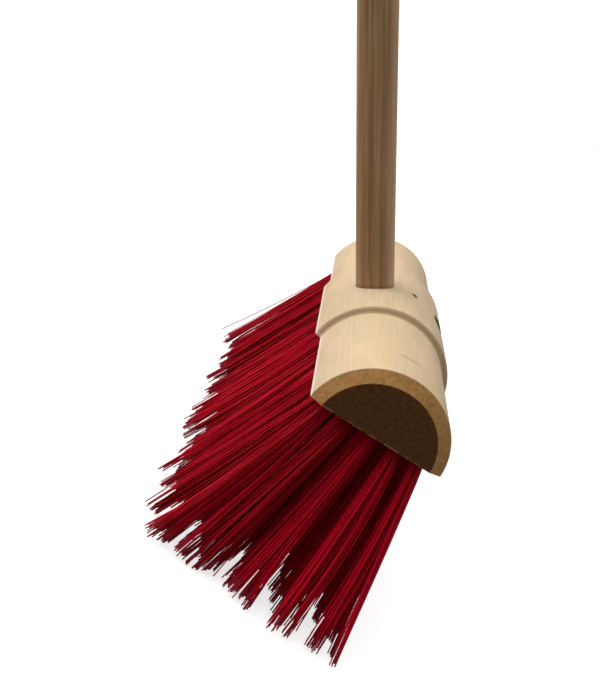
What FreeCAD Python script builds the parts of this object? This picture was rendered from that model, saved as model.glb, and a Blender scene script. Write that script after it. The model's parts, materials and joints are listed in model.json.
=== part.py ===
import FreeCAD, Part
import math
import os

from FreeCAD import Vector

# A push broom: a half-round wooden stock, a round wooden handle pushed into one of its two
# slanting sockets, and rows of plastic bristle tufts, each held in its hole by a wire anchor.
#
# Frame: millimetres, +Z up. The origin is the middle of the patch where the bristle ends meet
# the floor. +X runs along the stock, +Y is the way the broom is pushed, and the handle leans
# back over -Y.

# ---- driving dimensions -------------------------------------------------------------------

# Stock: a turned bar sawn flat along its underside, with a thicker band round its middle.
STOCK_LENGTH = 330.0
END_RADIUS = 47.0           # the two outer stretches
BAND_RADIUS = 51.4          # the thick band that holds the sockets
BAND_LENGTH = 112.2
COVE_LENGTH = 2.3           # the soft step from the band down to the outer stretches
COVE_SAG = 0.28             # how far its upper half bulges, and its lower half is hollowed
CHAMFER_DEPTH = 8.5         # taken off the radius at each end
CHAMFER_LENGTH = 4.1        # and how far along the bar it starts
AXIS_BELOW_FLAT = 3.7       # the turning axis lies this far under the sawn flat

# Handle and its two sockets. The handle sits in one, and the spare leans the other way.
HANDLE_DIAMETER = 28.5
HANDLE_LENGTH = 1220.0
HANDLE_LEAN = -33.6         # degrees from upright, back over -Y
SPARE_LEAN = 42.0           # the spare socket is drilled flatter, forward over +Y
HANDLE_NOSE = 4.0           # length of the cone on the end that enters the socket
HANDLE_EASING = 0.2         # taken off the radius at the nose, so that the end starts in its bore
EASED_TO = 53.0             # from the turning axis to the full, straight stretch of the handle
HANDLE_TOP_ROUND = 7.0
SOCKET_CLEARANCE = 0.05     # on the radius
SOCKET_FLOOR = 25.5         # from the turning axis to the flat floor of the handle's socket
SPARE_FLOOR = 31.0          # and of the spare, which stops short of the tuft holes below it
SEAT_GAP = 0.1              # between the handle's end and the socket's floor

# Bristle tufts: a grid of drilled holes that fan outwards, each with a folded bundle.
TRIM_HEIGHT = 118.0         # from the sawn flat down to the trimmed bristle ends
ROWS = 5
ROW_PITCH = 16.0
TUFTS_PER_ROW = 17
TUFT_PITCH = 19.2
FAN_ALONG = 1.165           # how far the grid has spread along the stock at the bristle ends
FAN_ALONG_PER_ROW = 0.025   # the front rows have spread more than the back ones
FAN_ACROSS = 1.82           # how far the grid has spread across the stock
TRAIL = 19.0                # how far use has swept the bristle ends back towards the handle
DRIFT = 20.0                # and towards +X
HOLE_RADIUS = 4.25
HOLE_DEPTH = 9.0
TUFT_RADIUS = 3.95
TUFT_NECK = 2.0             # the bundle leaves the hole straight for this far
FOLD_GAP = 0.3              # between the fold and the bottom of the hole
TIP_HALF_ALONG = 7.0
TIP_HALF_ACROSS = 9.0

# Flat wire anchor across the fold of each tuft; its ends bite into the wood.
ANCHOR_LENGTH = 10.0
ANCHOR_THICKNESS = 0.5
ANCHOR_HEIGHT = 1.8
ANCHOR_ABOVE_FOLD = 1.4     # from the bottom of the hole to the anchor's lower edge
ANCHOR_SLOT_GAP = 0.06      # between the anchor and the folded bundle

# Each row is filled in three runs, which become three nodes.
HALF_MIDDLE_RUN = 2         # columns either side of the centre that count as the middle run

# ---- derived places -----------------------------------------------------------------------

STOCK_Y = TRAIL
FLAT_Z = TRIM_HEIGHT
AXIS_POINT = Vector(0, STOCK_Y, FLAT_Z - AXIS_BELOW_FLAT)
HANDLE_RADIUS = HANDLE_DIAMETER / 2
SOCKET_RADIUS = HANDLE_RADIUS + SOCKET_CLEARANCE


def placed(shape, origin, direction):
    """The shape, drawn at the origin with its axis along Z, moved to a point and a direction."""
    turn = FreeCAD.Rotation(Vector(0, 0, 1), direction)
    moved = shape.copy()
    moved.Placement = FreeCAD.Placement(origin, turn)
    return moved


def revolved(points, axis):
    """A solid turned about an axis through the origin, from a closed outline.

    Each entry of the outline is a point, or a pair (middle, end) for an arc to the end."""
    edges = []
    start = points[0]
    for entry in points[1:] + [points[0]]:
        if isinstance(entry, tuple):
            middle, end = entry
            edges.append(Part.Arc(start, middle, end).toShape())
        else:
            end = entry
            edges.append(Part.LineSegment(start, end).toShape())
        start = end
    return Part.Face(Part.Wire(edges)).revolve(Vector(0, 0, 0), axis, 360)


# ---- stock --------------------------------------------------------------------------------

def turned_bar():
    """The full round bar before it is sawn, turned about the X axis."""
    half = STOCK_LENGTH / 2
    band = BAND_LENGTH / 2
    step = BAND_RADIUS - END_RADIUS
    slope = math.hypot(COVE_LENGTH, step)

    def at(x, radius):
        return Vector(x, 0, radius)

    def cove(side, share, bulge):
        """A point some share of the way down the step, raised by a bulge from its straight slope."""
        along = share * COVE_LENGTH + bulge * step / slope
        return at(side * (band + along), BAND_RADIUS - share * step + bulge * COVE_LENGTH / slope)

    outline = [
        at(-half, 0),
        at(-half, END_RADIUS - CHAMFER_DEPTH),
        at(-half + CHAMFER_LENGTH, END_RADIUS),
        at(-band - COVE_LENGTH, END_RADIUS),
        (cove(-1, 0.75, -COVE_SAG), cove(-1, 0.5, 0)),
        (cove(-1, 0.25, COVE_SAG), at(-band, BAND_RADIUS)),
        at(band, BAND_RADIUS),
        (cove(1, 0.25, COVE_SAG), cove(1, 0.5, 0)),
        (cove(1, 0.75, -COVE_SAG), at(band + COVE_LENGTH, END_RADIUS)),
        at(half - CHAMFER_LENGTH, END_RADIUS),
        at(half, END_RADIUS - CHAMFER_DEPTH),
        at(half, 0),
    ]
    bar = revolved(outline, Vector(1, 0, 0))
    bar.translate(AXIS_POINT)
    return bar


def leaning(degrees):
    """Unit vector upwards, leaning forward over +Y by an angle, or back over -Y when it is negative."""
    lean = math.radians(degrees)
    return Vector(0, math.sin(lean), math.cos(lean))


def socket(lean, floor):
    """The drilled space of one handle socket: a straight bore on a short cone."""
    mouth = BAND_RADIUS + 5
    cone_top = floor + HANDLE_NOSE
    space = revolved(
        [
            Vector(0, 0, floor),
            Vector(SOCKET_RADIUS - HANDLE_NOSE, 0, floor),
            Vector(SOCKET_RADIUS, 0, cone_top),
            Vector(SOCKET_RADIUS, 0, mouth),
            Vector(0, 0, mouth),
        ],
        Vector(0, 0, 1),
    )
    return placed(space, AXIS_POINT, leaning(lean))


def stock(holes, anchors):
    """The sawn bar, with two sockets, all the tuft holes and the bites of the anchors."""
    reach = STOCK_LENGTH + 20
    sawn_off = Part.makeBox(reach, reach, reach, Vector(-reach / 2, STOCK_Y - reach / 2, FLAT_Z - reach))
    body = turned_bar().cut(sawn_off)
    body = body.cut(socket(HANDLE_LEAN, SOCKET_FLOOR))
    body = body.cut(socket(SPARE_LEAN, SPARE_FLOOR))
    return body.cut(holes + anchors)


# ---- handle -------------------------------------------------------------------------------

def handle():
    """A straight round pole: an eased end with a cone for the socket, and a rounded rim on top."""
    foot = SOCKET_FLOOR + SEAT_GAP
    shoulder = foot + HANDLE_NOSE
    top = foot + HANDLE_LENGTH
    rim = HANDLE_TOP_ROUND
    bend = rim * (1 - math.sqrt(0.5))
    pole = revolved(
        [
            Vector(0, 0, foot),
            Vector(HANDLE_RADIUS - HANDLE_EASING - HANDLE_NOSE, 0, foot),
            Vector(HANDLE_RADIUS - HANDLE_EASING, 0, shoulder),
            Vector(HANDLE_RADIUS, 0, EASED_TO),
            Vector(HANDLE_RADIUS, 0, top - rim),
            (Vector(HANDLE_RADIUS - bend, 0, top - bend), Vector(HANDLE_RADIUS - rim, 0, top)),
            Vector(0, 0, top),
        ],
        Vector(0, 0, 1),
    )
    return placed(pole, AXIS_POINT, leaning(HANDLE_LEAN))


# ---- tufts and anchors --------------------------------------------------------------------

def grid_place(row, column):
    """A tuft's place on the flat, measured from the middle of the grid."""
    along = (column - (TUFTS_PER_ROW - 1) / 2) * TUFT_PITCH
    across = (row - (ROWS - 1) / 2) * ROW_PITCH
    return along, across


def hole_mouth(row, column):
    along, across = grid_place(row, column)
    return Vector(along, STOCK_Y + across, FLAT_Z)


def hole_direction(row, column):
    """Unit vector into the wood, along a hole that fans away from the middle of the stock."""
    along, across = grid_place(row, column)
    inward = Vector(-along * (FAN_ALONG - 1), -across * (FAN_ACROSS - 1), TRIM_HEIGHT)
    return inward.normalize()


def tuft_hole(row, column):
    """The drilled space of one tuft, run a little way out of the flat so that it cuts clean."""
    direction = hole_direction(row, column)
    below = 4.0
    space = Part.makeCylinder(HOLE_RADIUS, HOLE_DEPTH + below, Vector(0, 0, -below))
    return placed(space, hole_mouth(row, column), direction)


def anchor_bar(row, column, gap):
    """One flat wire anchor, or with a gap the slot that it needs in the folded bundle."""
    length = ANCHOR_LENGTH + 2 * gap
    thickness = ANCHOR_THICKNESS + 2 * gap
    height = ANCHOR_HEIGHT + 2 * gap
    upper_edge = HOLE_DEPTH - ANCHOR_ABOVE_FOLD + gap
    corner = Vector(-length / 2, -thickness / 2, upper_edge - height)
    bar = Part.makeBox(length, thickness, height, corner)
    return placed(bar, hole_mouth(row, column), hole_direction(row, column))


def ring(half_along, half_across):
    """A circle or an ellipse in the XY plane, always starting from its +Y point."""
    if half_along == half_across:
        edge = Part.Circle(Vector(0, 0, 0), Vector(0, 0, 1), half_along).toShape()
        edge.rotate(Vector(0, 0, 0), Vector(0, 0, 1), 90)
    else:
        edge = Part.Ellipse(Vector(0, half_across, 0), Vector(-half_along, 0, 0), Vector(0, 0, 0)).toShape()
    return Part.Wire(edge)


def tuft(row, column):
    """A folded bundle: straight in its hole, then spreading evenly to its trimmed end."""
    along, across = grid_place(row, column)
    mouth = hole_mouth(row, column)
    direction = hole_direction(row, column)
    spread = FAN_ALONG + FAN_ALONG_PER_ROW * (row - (ROWS - 1) / 2)
    tip = Vector(along * spread + DRIFT, across * FAN_ACROSS, 0)
    fold = placed(ring(TUFT_RADIUS, TUFT_RADIUS), mouth + direction * (HOLE_DEPTH - FOLD_GAP), direction)
    neck = placed(ring(TUFT_RADIUS, TUFT_RADIUS), mouth - direction * TUFT_NECK, direction)
    end = placed(ring(TIP_HALF_ALONG, TIP_HALF_ACROSS), tip, Vector(0, 0, 1))
    rooted = Part.makeLoft([fold, neck], True, True)
    opened = Part.makeLoft([neck, end], True, True)
    bundle = rooted.fuse(opened)
    return bundle.cut(anchor_bar(row, column, ANCHOR_SLOT_GAP))


def runs():
    """The name of each run of columns and the columns in it."""
    centre = (TUFTS_PER_ROW - 1) // 2
    first = centre - HALF_MIDDLE_RUN
    last = centre + HALF_MIDDLE_RUN
    return {
        "left": range(0, first),
        "middle": range(first, last + 1),
        "right": range(last + 1, TUFTS_PER_ROW),
    }


# ---- the whole broom ----------------------------------------------------------------------

def build():
    grid = [(row, column) for row in range(ROWS) for column in range(TUFTS_PER_ROW)]
    holes = [tuft_hole(*place) for place in grid]
    anchors = {place: anchor_bar(*place, 0.0) for place in grid}
    nodes = {
        "stock": stock(holes, list(anchors.values())),
        "handle": handle(),
    }
    for row in range(ROWS):
        for run, columns in runs().items():
            name = f"row_{row + 1}_{run}"
            nodes[f"tufts_{name}"] = Part.makeCompound([tuft(row, column) for column in columns])
            nodes[f"anchors_{name}"] = Part.makeCompound([anchors[row, column] for column in columns])
    return nodes


def save(nodes):
    os.makedirs("parts", exist_ok=True)
    for name, shape in nodes.items():
        shape.exportStep(f"parts/{name}.step")
        box = shape.BoundBox
        print(
            f"{name}: solids {len(shape.Solids)}, valid {shape.isValid()}, volume {shape.Volume:.0f},",
            f"x {box.XMin:.1f} to {box.XMax:.1f}, y {box.YMin:.1f} to {box.YMax:.1f},",
            f"z {box.ZMin:.1f} to {box.ZMax:.1f}",
        )


save(build())
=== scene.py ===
import json
import math

import bpy
import numpy as np
from mathutils import Matrix, Vector


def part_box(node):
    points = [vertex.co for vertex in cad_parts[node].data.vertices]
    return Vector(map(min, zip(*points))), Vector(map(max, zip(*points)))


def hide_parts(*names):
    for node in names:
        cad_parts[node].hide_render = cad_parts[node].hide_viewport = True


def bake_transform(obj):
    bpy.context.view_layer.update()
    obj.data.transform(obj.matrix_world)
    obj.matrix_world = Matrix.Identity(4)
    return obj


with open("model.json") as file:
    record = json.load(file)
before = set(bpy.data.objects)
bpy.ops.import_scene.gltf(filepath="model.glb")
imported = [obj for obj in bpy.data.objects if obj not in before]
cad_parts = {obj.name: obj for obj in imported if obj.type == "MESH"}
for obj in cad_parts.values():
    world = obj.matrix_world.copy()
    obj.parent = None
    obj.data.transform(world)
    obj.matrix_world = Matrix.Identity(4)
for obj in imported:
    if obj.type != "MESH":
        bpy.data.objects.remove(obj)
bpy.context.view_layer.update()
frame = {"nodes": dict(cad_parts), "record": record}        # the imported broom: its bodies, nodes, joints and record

MM = 0.001

# ---- the broom's own measures, in metres ---------------------------------------------------------

STOCK_LOW, STOCK_HIGH = (np.array(corner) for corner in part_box("stock"))
FLAT_Z = STOCK_LOW[2]                       # the sawn flat that the tufts come out of
HALF_LENGTH = STOCK_HIGH[0]
AXIS_Z = FLAT_Z - 3.7 * MM                  # height of the axis that the stock was turned about
BAND_RADIUS = STOCK_HIGH[2] - AXIS_Z
CHAMFER_LENGTH = 4.1 * MM
BAND_HALF = 56.1 * MM                       # the thick band's half length
COVE_LENGTH = 2.3 * MM
SOCKET_RADIUS = 14.3 * MM

JOINTS = {joint["name"]: joint for joint in frame["record"]["behaviour"]["joints"]}
ROWS = range(1, 6)
ROOT_LINES = {row: JOINTS[f"bend_row_{row}"]["pos_m"] for row in ROWS}
ROW_MIDDLE = ROOT_LINES[3][1]
HANDLE_AXIS = Vector(JOINTS["handle_pull"]["axis"])

TUFT_PITCH = 19.2 * MM
RUNS = {"left": range(-8, -2), "middle": range(-2, 3), "right": range(3, 9)}
FAN_ALONG = 1.165                           # how far the tufts spread along the stock
FAN_ALONG_PER_ROW = 0.025                   # the front rows spread more than the back ones
FAN_ACROSS = 1.82                           # and across it
TRAIL = ROW_MIDDLE                          # the swept-back set of the bristle ends
DRIFT = 20 * MM                             # and their set towards +X
SET_POWER = 1.4                             # how late along a filament the set comes

FILAMENT_RADIUS = 0.40 * MM
FILAMENTS_PER_TUFT = 84
LOCKS_PER_TUFT = 7                          # the clumps that a worn tuft gathers into
LOCK_REACH = 1.05                           # how far out the locks' centres lie, by the disc
LOCK_PULL = (0.4, 0.8)                      # how far the filaments are drawn to their locks
STRAY_SHARE = 0.015                         # filaments that have sprung out of their lock
TIP_SPREAD = (14.0 * MM, 14.0 * MM)         # radii of a tuft's open end, along and across
FILAMENT_WANDER = 0.06                      # scatter of the ends, by the disc's radius
STRAY_WANDER = 0.5
TUFT_WANDER = 2.0 * MM                      # scatter of the tufts' ends
LOCK_SWEEP = 1.0 * MM                       # scatter of the set, from lock to lock
FILAMENT_BOW = 0.5 * MM                     # scatter of the sideways bow at half height
LOCK_BOW = 1.3 * MM
TRIM_HEIGHT = 0.4 * MM                      # lowest ends above the floor
TRIM_WANDER = 1.4 * MM                      # unevenness of the cut
LOCK_WEAR = 3.5 * MM                        # most that a lock has worn short
BROKEN_SHARE = 0.06
BROKEN_LENGTH = (0.8, 0.96)                 # what is left of a broken filament
TONE_SHARES = (0.35, 0.5, 0.15)             # the tuft's, the lock's and the filament's own
FILAMENT_STATIONS = 8
FILAMENT_SIDES = 5
ROOT_DEPTH = 5.0 * MM                       # how far up the hole the visible filaments start
HOLE_FILL = 3.6 * MM                        # radius of the bundle in its hole


# ---- small helpers -------------------------------------------------------------------------------

def srgb(text, alpha=1.0):
    """A '#RRGGBB' colour as linear red, green, blue and alpha."""
    parts = [int(text[i:i + 2], 16) / 255 for i in (1, 3, 5)]
    linear = [p / 12.92 if p <= 0.04045 else ((p + 0.055) / 1.055) ** 2.4 for p in parts]
    return (*linear, alpha)


def mesh_object(name, points, faces, attributes=None):
    """One mesh object at the origin, from an (n, 3) array of points and a list of face rows."""
    mesh = bpy.data.meshes.new(name)
    mesh.from_pydata(points.tolist(), [], faces)
    for key, values in (attributes or {}).items():
        layer = mesh.attributes.new(key, "FLOAT", "POINT")
        layer.data.foreach_set("value", values.astype(np.float32))
    mesh.update()
    piece = bpy.data.objects.new(name, mesh)
    bpy.context.collection.objects.link(piece)
    return piece


def smooth(piece):
    piece.data.polygons.foreach_set("use_smooth", [True] * len(piece.data.polygons))


def unit(vectors):
    return vectors / np.linalg.norm(vectors, axis=-1, keepdims=True)


# ---- material helpers ----------------------------------------------------------------------------

def new_material(name):
    material = bpy.data.materials.new(name)
    material.use_nodes = True
    tree = material.node_tree
    tree.nodes.clear()
    output = tree.nodes.new("ShaderNodeOutputMaterial")
    shader = tree.nodes.new("ShaderNodeBsdfPrincipled")
    tree.links.new(shader.outputs["BSDF"], output.inputs["Surface"])
    return material, tree, shader


def node(tree, kind, settings=None, **inputs):
    """Adds a node. settings are its properties; inputs are values, or output sockets to link."""
    added = tree.nodes.new(kind)
    for key, value in (settings or {}).items():
        setattr(added, key, value)
    for key, value in inputs.items():
        name = key.replace("_", " ")
        numbered = key[0] == "i" and key[1:].isdigit()
        socket = added.inputs[int(key[1:]) if numbered else name]
        if isinstance(value, bpy.types.NodeSocket):
            tree.links.new(value, socket)
        else:
            socket.default_value = value
    return added


def ramp(tree, factor, stops):
    """A colour ramp read at factor; stops are (place, '#RRGGBB') pairs."""
    added = node(tree, "ShaderNodeValToRGB", Fac=factor)
    elements = added.color_ramp.elements
    while len(elements) < len(stops):
        elements.new(0.5)
    for element, (place, colour) in zip(elements, stops):
        element.position = place
        element.color = srgb(colour)
    return added.outputs["Color"]


def maths(tree, operation, first, second=0.0, third=0.0):
    settings = {"operation": operation}
    return node(tree, "ShaderNodeMath", settings, i0=first, i1=second, i2=third).outputs[0]


def step(tree, value, low, high):
    """0 below low, 1 above high, and a smooth rise between."""
    settings = {"interpolation_type": "SMOOTHSTEP"}
    added = node(tree, "ShaderNodeMapRange", settings, Value=value, From_Min=low, From_Max=high)
    return added.outputs["Result"]


def fall(tree, value, low, high):
    """1 below low, 0 above high, and a smooth fall between."""
    return maths(tree, "SUBTRACT", 1.0, step(tree, value, low, high))


def mix(tree, factor, first, second):
    settings = {"data_type": "RGBA", "blend_type": "MIX", "clamp_factor": True}
    added = node(tree, "ShaderNodeMix", settings, i0=factor, i6=first, i7=second)
    return added.outputs[2]


def tint(tree, base, share, amount, colour):
    """The base colour, moved by amount towards a '#RRGGBB' colour where share is 1."""
    return mix(tree, maths(tree, "MULTIPLY", share, amount), base, srgb(colour))


def set_roughness(tree, shader, value, low, high):
    """Roughness from low to high as value goes from 0 to 1."""
    gloss = node(tree, "ShaderNodeMapRange", Value=value, To_Min=low, To_Max=high)
    tree.links.new(gloss.outputs["Result"], shader.inputs["Roughness"])


def set_bump(tree, shader, height, strength, distance):
    bump = node(tree, "ShaderNodeBump", Height=height, Strength=strength, Distance=distance)
    tree.links.new(bump.outputs["Normal"], shader.inputs["Normal"])


def stretched_noise(tree, place, scale, detail=3.0, roughness=0.55, distortion=0.0):
    """Noise with its own scale along each axis, in patterns per metre."""
    scaled = node(tree, "ShaderNodeMapping", Vector=place, Scale=scale).outputs["Vector"]
    added = node(tree, "ShaderNodeTexNoise", Vector=scaled, Scale=1.0, Detail=detail,
                 Roughness=roughness, Distortion=distortion)
    return added.outputs["Fac"]


# ---- materials -----------------------------------------------------------------------------------

def oval_mark(tree, place, centre, half_sizes, turn):
    """1 inside a soft-edged oval mark drawn looking down, at any height, and 0 outside it."""
    settings = {"vector_type": "TEXTURE"}
    size = (*half_sizes, 1.0)
    local = node(tree, "ShaderNodeMapping", settings, Vector=place, Location=(*centre, 0),
                 Rotation=(0, 0, math.radians(turn)), Scale=size).outputs["Vector"]
    flat = node(tree, "ShaderNodeVectorMath", {"operation": "MULTIPLY"}, i0=local, i1=(1, 1, 0))
    reach = node(tree, "ShaderNodeVectorMath", {"operation": "LENGTH"}, i0=flat.outputs["Vector"])
    edge = stretched_noise(tree, place, (500, 500, 500))
    ragged = maths(tree, "MULTIPLY_ADD", edge, 0.7, reach.outputs["Value"])
    return fall(tree, ragged, 0.9, 1.6)


def stock_wood():
    """Pale beech, turned and sanded, left bare: fine fibres along the stock, small brown flecks,
    one pin knot, a matt surface. The end faces are stained dark and the chamfers took some of the
    stain; a pale pink highlight is painted along the long edges of the flat, and painted shade darkens the sockets
    and the cove."""
    material, tree, shader = new_material("beech_turned_bare")
    place = node(tree, "ShaderNodeTexCoord").outputs["Object"]
    axes = node(tree, "ShaderNodeSeparateXYZ", Vector=place)
    from_middle = maths(tree, "ABSOLUTE", axes.outputs["X"])
    above_flat = maths(tree, "SUBTRACT", axes.outputs["Z"], float(FLAT_Z))

    # Fibres are about 1.2 mm wide and 36 mm long; bands of growth are about 9 mm wide.
    fibres = stretched_noise(tree, place, (28, 800, 800), detail=4)
    growth = stretched_noise(tree, place, (4, 110, 110), detail=2, distortion=0.6)
    pale = ramp(tree, fibres, [(0.25, "#BFA888"), (0.5, "#C8B394"), (0.75, "#CEBA9D")])
    toned = tint(tree, pale, step(tree, growth, 0.45, 0.75), 0.40, "#D1B488")
    blush = stretched_noise(tree, place, (14, 45, 45), detail=2)
    warm = tint(tree, toned, step(tree, blush, 0.50, 0.66), 0.45, "#DDBEA4")

    # Flecks: the short brown pores of beech, drawn 1.2 mm wide so that they show.
    flecks = stretched_noise(tree, place, (160, 800, 800), detail=1)
    flecked = tint(tree, warm, step(tree, flecks, 0.67, 0.75), 0.4, "#A98A5F")

    # Painted highlight: within 3 mm of the flat the wood is painted paler where the edges catch light, and a little
    # pink as a painted reflection of the bristles.
    edge_highlight = fall(tree, above_flat, 1.0 * MM, 3.2 * MM)
    edge_highlighted = tint(tree, flecked, edge_highlight, 0.85, "#FBDDD0")

    # A pin knot on the ridge of the band, and a brown grain mark near the +X end.
    knot = oval_mark(tree, place, (0.4 * MM, ROW_MIDDLE + 1.3 * MM), (4.0 * MM, 2.6 * MM), 4)
    knotted = tint(tree, edge_highlighted, knot, 0.9, "#33200E")
    grain = oval_mark(tree, place, (131 * MM, ROW_MIDDLE - 1.8 * MM), (2.6 * MM, 10 * MM), -4)
    marked = tint(tree, knotted, grain, 0.45, "#A88152")

    # The cove between the band and the outer stretch is painted a little darker: painted shade, where the step is lit
    # less.
    cove_low = step(tree, from_middle, BAND_HALF - 0.8 * MM, BAND_HALF + 0.5 * MM)
    cove_end = BAND_HALF + COVE_LENGTH
    cove_high = step(tree, from_middle, cove_end - 0.4 * MM, cove_end + 1.2 * MM)
    cove_shade = maths(tree, "SUBTRACT", cove_low, cove_high)
    cove_shaded = tint(tree, marked, cove_shade, 0.35, "#B4966A")

    # Inside a socket the wood is end grain, painted dark as the shade that falls in the hole.
    across = maths(tree, "SUBTRACT", axes.outputs["Y"], float(ROW_MIDDLE))
    up = maths(tree, "SUBTRACT", axes.outputs["Z"], float(AXIS_Z))
    up_squared = maths(tree, "MULTIPLY", up, up)
    radius = maths(tree, "SQRT", maths(tree, "MULTIPLY_ADD", across, across, up_squared))
    under_skin = fall(tree, radius, BAND_RADIUS - 1.6 * MM, BAND_RADIUS - 0.3 * MM)
    by_socket = fall(tree, from_middle, SOCKET_RADIUS, SOCKET_RADIUS + 0.3 * MM)
    not_flat = step(tree, above_flat, 0.5 * MM, 1.5 * MM)
    socket_shade = maths(tree, "MULTIPLY", maths(tree, "MULTIPLY", under_skin, by_socket), not_flat)
    socket_shaded = tint(tree, cove_shaded, socket_shade, 0.9, "#4A3420")

    # Stain: brown on the chamfer, with the grain running through it.
    edge_noise = stretched_noise(tree, place, (150, 300, 300), detail=3)
    wander = maths(tree, "MULTIPLY_ADD", edge_noise, 0.6 * MM, from_middle)
    chamfer_start = HALF_LENGTH - CHAMFER_LENGTH
    chamfer = step(tree, wander, chamfer_start + 0.1 * MM, chamfer_start + 0.7 * MM)
    chamfer_grain = stretched_noise(tree, place, (40, 420, 420), detail=3)
    brown = ramp(tree, chamfer_grain, [(0.28, "#AC7944"), (0.5, "#BC8A4F"), (0.72, "#CB9B5E")])
    stained = mix(tree, chamfer, socket_shaded, brown)

    # The end face is nearly black brown end grain. Along its sawn lower edge pale spots are painted: partly small
    # chips, partly painted highlights where the edge catches light.
    end_grain = stretched_noise(tree, place, (400, 300, 500), detail=5, roughness=0.7)
    dark = ramp(tree, end_grain, [(0.3, "#4A2B08"), (0.5, "#5E380C"), (0.75, "#7E4E16")])
    end = step(tree, from_middle, HALF_LENGTH - 0.35 * MM, HALF_LENGTH - 0.1 * MM)
    ended = mix(tree, end, stained, dark)
    chip_noise = stretched_noise(tree, place, (300, 260, 260), detail=2)
    low_edge = fall(tree, above_flat, 0.3 * MM, 1.7 * MM)
    near_end = step(tree, from_middle, HALF_LENGTH - 1.0 * MM, HALF_LENGTH - 0.3 * MM)
    sawn_edge = maths(tree, "MULTIPLY", low_edge, near_end)
    chips_and_highlights = maths(tree, "MULTIPLY", sawn_edge, step(tree, chip_noise, 0.44, 0.56))
    colour = tint(tree, ended, chips_and_highlights, 0.75, "#A07A62")
    tree.links.new(colour, shader.inputs["Base Color"])

    set_roughness(tree, shader, fibres, 0.55, 0.75)
    shader.inputs["Specular IOR Level"].default_value = 0.3
    height = maths(tree, "ADD", fibres, maths(tree, "MULTIPLY", end_grain, end))
    set_bump(tree, shader, height, 0.35, 0.25 * MM)
    return material


def handle_wood():
    """A mid-brown softwood pole, dipped in thin brown stain: long dark and light streaks down
    its length, olive in places and mauve in others, a bloom of fine dust, and a dark ring at the
    socket."""
    material, tree, shader = new_material("stained_pole_wood")
    object_place = node(tree, "ShaderNodeTexCoord").outputs["Object"]
    lean = math.atan2(-HANDLE_AXIS.y, HANDLE_AXIS.z)
    upright = node(tree, "ShaderNodeMapping", {"vector_type": "POINT"}, Vector=object_place,
                   Rotation=(-lean, 0, 0))
    place = upright.outputs["Vector"]

    # Streaks are about 3 mm wide and 170 mm long; fibres are about 1 mm wide and 40 mm long.
    streaks = stretched_noise(tree, place, (300, 300, 6), detail=3, distortion=0.3)
    fibres = stretched_noise(tree, place, (1000, 1000, 25), detail=3)
    broad = stretched_noise(tree, place, (120, 120, 7), detail=2)
    hue = stretched_noise(tree, place, (160, 160, 10), detail=2)
    body = ramp(tree, streaks, [(0.26, "#7A5230"), (0.42, "#9C744B"),
                                (0.58, "#B8916B"), (0.78, "#D2AF87")])
    fine = mix(tree, 0.22, body, ramp(tree, fibres, [(0.3, "#966B3D"), (0.7, "#D2AB80")]))
    olive = tint(tree, fine, step(tree, hue, 0.52, 0.68), 0.45, "#9C8858")
    mauve_share = fall(tree, hue, 0.34, 0.48)
    mauve = tint(tree, olive, mauve_share, 0.45, "#A87C6A")
    banded = tint(tree, mauve, step(tree, broad, 0.5, 0.66), 0.4, "#8A623A")

    # Where the pole enters its socket, the wood is painted darker in a ring.
    axes = node(tree, "ShaderNodeSeparateXYZ", Vector=place)
    mouth = Vector((0, ROW_MIDDLE, AXIS_Z)).dot(HANDLE_AXIS) + BAND_RADIUS
    ring = fall(tree, axes.outputs["Z"], mouth - 0.5 * MM, mouth + 2.5 * MM)
    colour = tint(tree, banded, ring, 0.45, "#5C4426")
    tree.links.new(colour, shader.inputs["Base Color"])

    set_roughness(tree, shader, streaks, 0.45, 0.65)
    shader.inputs["Specular IOR Level"].default_value = 0.35
    shader.inputs["Sheen Weight"].default_value = 0.6
    shader.inputs["Sheen Roughness"].default_value = 0.35
    shader.inputs["Sheen Tint"].default_value = srgb("#FFE9D2")
    height = maths(tree, "ADD", fibres, streaks)
    set_bump(tree, shader, height, 0.3, 0.2 * MM)
    return material


def bristle_plastic():
    """Crimson PVC filament, extruded in straight lengths: satin, each lock a slightly different
    red, with a paler pink painted highlight at the cut ends."""
    material, tree, shader = new_material("crimson_pvc_filament")
    tone = node(tree, "ShaderNodeAttribute", {"attribute_name": "tone"}).outputs["Fac"]
    reach = node(tree, "ShaderNodeAttribute", {"attribute_name": "reach"}).outputs["Fac"]
    along = node(tree, "ShaderNodeCombineXYZ", X=maths(tree, "MULTIPLY", tone, 90.0),
                 Y=maths(tree, "MULTIPLY", reach, 5.0)).outputs["Vector"]
    drift = node(tree, "ShaderNodeTexNoise", Vector=along, Scale=1.0, Detail=2.0).outputs["Fac"]
    steady = maths(tree, "MULTIPLY", tone, 0.75)
    shade = maths(tree, "ADD", steady, maths(tree, "MULTIPLY", drift, 0.25))
    red = ramp(tree, shade, [(0.15, "#8C0010"), (0.4, "#A40018"),
                             (0.62, "#B60020"), (0.9, "#CC0830")])
    # Painted highlight: the last tenth of each filament is painted paler and pinker.
    tip_highlighted = tint(tree, red, step(tree, reach, 0.90, 1.0), 0.35, "#C85A72")
    tree.links.new(tip_highlighted, shader.inputs["Base Color"])
    set_roughness(tree, shader, drift, 0.42, 0.60)
    shader.inputs["IOR"].default_value = 1.53
    shader.inputs["Specular IOR Level"].default_value = 0.07
    set_bump(tree, shader, drift, 0.2, 0.1 * MM)
    return material


def anchor_wire():
    """Flat drawn steel wire: bright, with fine draw lines along it."""
    material, tree, shader = new_material("drawn_steel_wire")
    place = node(tree, "ShaderNodeTexCoord").outputs["Object"]
    lines = stretched_noise(tree, place, (200, 4000, 4000), detail=2)
    steel = ramp(tree, lines, [(0.3, "#8E8A84"), (0.7, "#BDB9B2")])
    tree.links.new(steel, shader.inputs["Base Color"])
    shader.inputs["Metallic"].default_value = 1.0
    set_roughness(tree, shader, lines, 0.25, 0.45)
    set_bump(tree, shader, lines, 0.2, 0.05 * MM)
    return material


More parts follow.
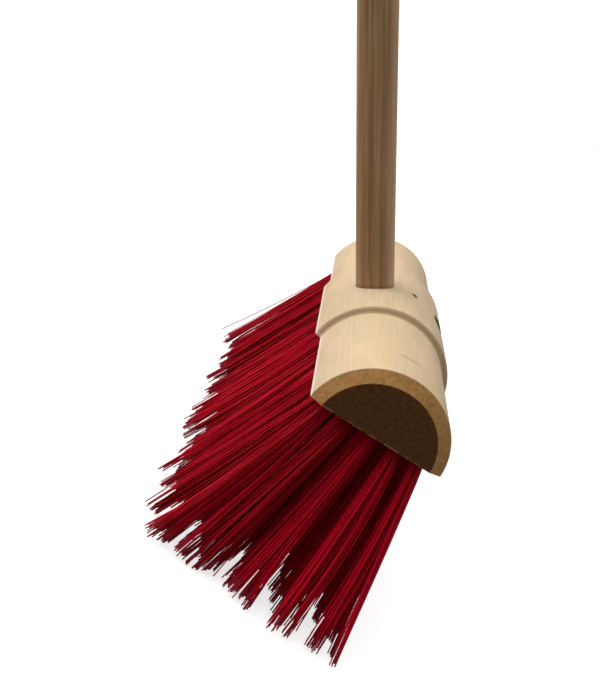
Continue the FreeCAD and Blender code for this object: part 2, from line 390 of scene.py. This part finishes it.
def studio_paper():
    """White backdrop paper lit from behind, so that shadows on it stay faint."""
    material, tree, shader = new_material("studio_paper")
    place = node(tree, "ShaderNodeTexCoord").outputs["Object"]
    tooth = stretched_noise(tree, place, (300, 300, 300))
    paper = ramp(tree, tooth, [(0.3, "#B8B8B8"), (0.7, "#BCBCBC")])
    tree.links.new(paper, shader.inputs["Base Color"])
    shader.inputs["Roughness"].default_value = 0.9
    shader.inputs["Emission Color"].default_value = srgb("#FFFFFF")
    shader.inputs["Emission Strength"].default_value = 0.72
    return material


# ---- bristles ------------------------------------------------------------------------------------

def sunflower(count):
    """Even places on a unit disc: point i is at radius sqrt((i + 1/2) / count), i golden angles
    round."""
    index = np.arange(count)
    radius = np.sqrt((index + 0.5) / count)
    angle = index * math.pi * (3 - math.sqrt(5))
    return np.stack([radius * np.cos(angle), radius * np.sin(angle)], axis=1)


def filament_paths(row, columns, rng):
    """Centre lines of a run of tufts, shape (filaments, stations, 3), and a tone for each filament.

    For t from 0 at the hole to 1 at the cut end,
    P(t) = root + spread t + sweep t^p + bow 4t(1 - t), with p as SET_POWER.
    The spread opens each tuft like a fan, and draws its filaments together into a few locks."""
    count = FILAMENTS_PER_TUFT
    disc = sunflower(count)
    t = np.linspace(0, 1, FILAMENT_STATIONS)[None, :, None]
    root_y = ROOT_LINES[row][1]
    across = root_y - ROW_MIDDLE
    fan_along = FAN_ALONG + FAN_ALONG_PER_ROW * (row - 3)
    by_tuft, by_lock, by_filament = TONE_SHARES
    paths = []
    tones = []
    for column in columns:
        along = column * TUFT_PITCH
        inward = unit(np.array([-along * (FAN_ALONG - 1), -across * (FAN_ACROSS - 1), FLAT_Z]))
        turn = rng.uniform(0, 2 * math.pi)
        spin = np.array([[math.cos(turn), -math.sin(turn)], [math.sin(turn), math.cos(turn)]])
        placed = disc @ spin.T

        root = np.zeros((count, 3))
        root[:] = np.array([along, root_y, FLAT_Z]) + inward * ROOT_DEPTH
        root[:, :2] += placed * HOLE_FILL

        # Ends: the disc opened out, drawn most of the way to the nearest of a few lock centres.
        locks = placed[rng.choice(count, LOCKS_PER_TUFT, replace=False)] * LOCK_REACH
        nearest = np.argmin(np.linalg.norm(placed[:, None] - locks[None], axis=2), axis=1)
        pull = rng.uniform(*LOCK_PULL, (count, 1))
        opened = placed * (1 - pull) + locks[nearest] * pull
        opened = opened + rng.normal(0, FILAMENT_WANDER, (count, 2))
        stray = rng.random((count, 1)) < STRAY_SHARE
        opened += stray * rng.normal(0, STRAY_WANDER, (count, 2))
        centre = np.array([along * fan_along, ROW_MIDDLE + across * FAN_ACROSS])
        centre += rng.normal(0, TUFT_WANDER, 2)
        end = np.zeros((count, 3))
        end[:, :2] = centre + opened * np.array(TIP_SPREAD)

        sweep = np.zeros_like(end)
        sweep[:] = np.array([DRIFT, -TRAIL, 0])
        sweep[:, :2] += rng.normal(0, LOCK_SWEEP, (LOCKS_PER_TUFT, 2))[nearest]
        bow = np.zeros_like(end)
        bow[:, :2] = rng.normal(0, FILAMENT_BOW, (count, 2))
        bow[:, :2] += rng.normal(0, LOCK_BOW, (LOCKS_PER_TUFT, 2))[nearest]

        # The trim is level to a few millimetres, and some filaments have broken short.
        worn = rng.uniform(0, LOCK_WEAR, LOCKS_PER_TUFT)[nearest]
        end[:, 2] = TRIM_HEIGHT + np.abs(rng.normal(0, TRIM_WANDER, count)) + worn
        broken = rng.random(count) < BROKEN_SHARE
        length = np.where(broken, rng.uniform(*BROKEN_LENGTH, count), 1.0)[:, None, None]
        s = t * length
        straight = root[:, None] + (end - root)[:, None] * s
        paths.append(straight + sweep[:, None] * s ** SET_POWER + bow[:, None] * 4 * s * (1 - s))
        lock_tones = rng.random(LOCKS_PER_TUFT)[nearest]
        tuft_tone = rng.random()
        own_tones = rng.random(count)
        tones.append(by_tuft * tuft_tone + by_lock * lock_tones + by_filament * own_tones)
    return np.concatenate(paths), np.concatenate(tones)


def tubes(name, paths, tones):
    """Round filaments: a ring of points at each station of each path, on two directions square to
    the path's tangent, joined by quads, with a low point closing each end."""
    count, stations = paths.shape[:2]
    tangent = unit(np.gradient(paths, axis=1))
    side = unit(np.cross(tangent, np.array([1.0, 0.0, 0.0])))
    other = np.cross(tangent, side)
    angle = np.arange(FILAMENT_SIDES) * 2 * math.pi / FILAMENT_SIDES
    circle = side[:, :, None] * np.cos(angle)[:, None] + other[:, :, None] * np.sin(angle)[:, None]
    rings = paths[:, :, None] + FILAMENT_RADIUS * circle
    body = rings.reshape(count, stations * FILAMENT_SIDES, 3)
    points = np.concatenate([body, paths[:, :1], paths[:, -1:]], axis=1)
    per = points.shape[1]

    station = np.arange(stations - 1)[:, None] * FILAMENT_SIDES
    k = np.arange(FILAMENT_SIDES)
    following = (k + 1) % FILAMENT_SIDES
    quads = np.stack([station + k, station + FILAMENT_SIDES + k,
                      station + FILAMENT_SIDES + following, station + following], axis=-1)
    quads = quads.reshape(-1, 4)
    last = (stations - 1) * FILAMENT_SIDES
    first_cap = np.stack([np.full(FILAMENT_SIDES, per - 2), k, following], axis=-1)
    last_cap = np.stack([np.full(FILAMENT_SIDES, per - 1), last + following, last + k], axis=-1)
    offsets = (np.arange(count) * per)[:, None, None]
    faces = (quads + offsets).reshape(-1, 4).tolist()
    faces += (np.concatenate([first_cap, last_cap]) + offsets).reshape(-1, 3).tolist()

    t = np.linspace(0, 1, stations)
    reach = np.concatenate([np.repeat(t, FILAMENT_SIDES), [0.0, 1.0]])
    attributes = {"tone": np.repeat(tones, per), "reach": np.tile(reach, count)}
    piece = mesh_object(name, points.reshape(-1, 3), faces, attributes)
    smooth(piece)
    return piece


def make_bristles(material):
    rng = np.random.default_rng(11)
    for row in ROWS:
        for run, columns in RUNS.items():
            paths, tones = filament_paths(row, columns, rng)
            piece = tubes(f"bristles_row_{row}_{run}", paths, tones)
            piece.data.materials.append(material)
            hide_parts(f"tufts_row_{row}_{run}")
            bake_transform(piece)


# ---- materials on the carried-over pieces --------------------------------------------------------

def dress(node_name, material):
    piece = frame["nodes"][node_name]
    piece.data.materials.clear()
    piece.data.materials.append(material)


def make_frame_finishes():
    dress("stock", stock_wood())
    dress("handle", handle_wood())
    wire = anchor_wire()
    for row in ROWS:
        for run in RUNS:
            dress(f"anchors_row_{row}_{run}", wire)


# ---- studio --------------------------------------------------------------------------------------

FLOOR_RADIUS = 30.0                         # metres, so that its edge is never seen
FLOOR_CORNERS = 96
FILL_LIGHT = 0.21                           # strength of the even light from all round


def make_floor():
    """A flat disc of pale paper."""
    angle = np.linspace(0, 2 * math.pi, FLOOR_CORNERS + 1)[:-1]
    circle = [np.cos(angle), np.sin(angle), np.zeros_like(angle)]
    rim = np.stack(circle, axis=1) * FLOOR_RADIUS
    floor = mesh_object("floor", rim, [list(range(len(rim)))])
    floor.data.materials.append(studio_paper())
    floor.visible_diffuse = False
    floor.visible_glossy = False


def soft_light(name, towards, strength, spread):
    """A far light, softened by its spread in degrees."""
    data = bpy.data.lights.new(name, "SUN")
    data.energy = strength
    data.angle = math.radians(spread)
    data.color = srgb("#FFFCF6")[:3]
    light = bpy.data.objects.new(name, data)
    light.rotation_euler = Vector(towards).to_track_quat("-Z", "Y").to_euler()
    bpy.context.collection.objects.link(light)


def make_light():
    """A broad soft light from overhead, one from each side, and a dim even fill from all round.
    The studio's white backdrop is only for the eye: it gives no light of its own."""
    world = bpy.data.worlds.new("studio")
    world.use_nodes = True
    tree = world.node_tree
    background = tree.nodes["Background"]
    background.inputs["Color"].default_value = srgb("#FFFFFF")
    seen = node(tree, "ShaderNodeLightPath").outputs["Is Camera Ray"]
    strength = maths(tree, "MULTIPLY_ADD", seen, 1.0 - FILL_LIGHT, FILL_LIGHT)
    tree.links.new(strength, background.inputs["Strength"])
    bpy.context.scene.world = world

    soft_light("overhead", towards=(0.25, 0.42, -1.0), strength=2.3, spread=70)
    soft_light("handle_side", towards=(0.08, 1.0, -0.30), strength=2.3, spread=50)
    soft_light("far_side", towards=(0.10, -1.0, -0.45), strength=0.6, spread=50)


def make_camera():
    """Stands off the +X end of the head, a little above it, tilted so that the handle is
    upright."""
    eye = Vector((0.6854, ROW_MIDDLE - 0.1382, FLAT_Z + 0.2074))
    heading = math.radians(172.64)
    dip = math.radians(18.98)
    roll = math.radians(34.73)
    forward = Vector((math.cos(dip) * math.cos(heading),
                      math.cos(dip) * math.sin(heading), -math.sin(dip)))
    level = forward.cross(Vector((0, 0, 1))).normalized()
    upright = level.cross(forward)
    right = level * math.cos(roll) + upright * math.sin(roll)
    up = upright * math.cos(roll) - level * math.sin(roll)
    turn = Matrix((right, up, -forward)).transposed()
    data = bpy.data.cameras.new("camera")
    data.sensor_width = 36.0
    data.lens = 50.89
    data.clip_end = 100.0
    camera = bpy.data.objects.new("camera", data)
    camera.matrix_world = Matrix.Translation(eye) @ turn.to_4x4()
    bpy.context.collection.objects.link(camera)
    bpy.context.scene.camera = camera


# ---- the whole scene -----------------------------------------------------------------------------

make_camera()
make_light()
make_floor()
make_frame_finishes()
make_bristles(bristle_plastic())

bpy.context.scene.view_settings.view_transform = "Standard"
bpy.context.view_layer.update()
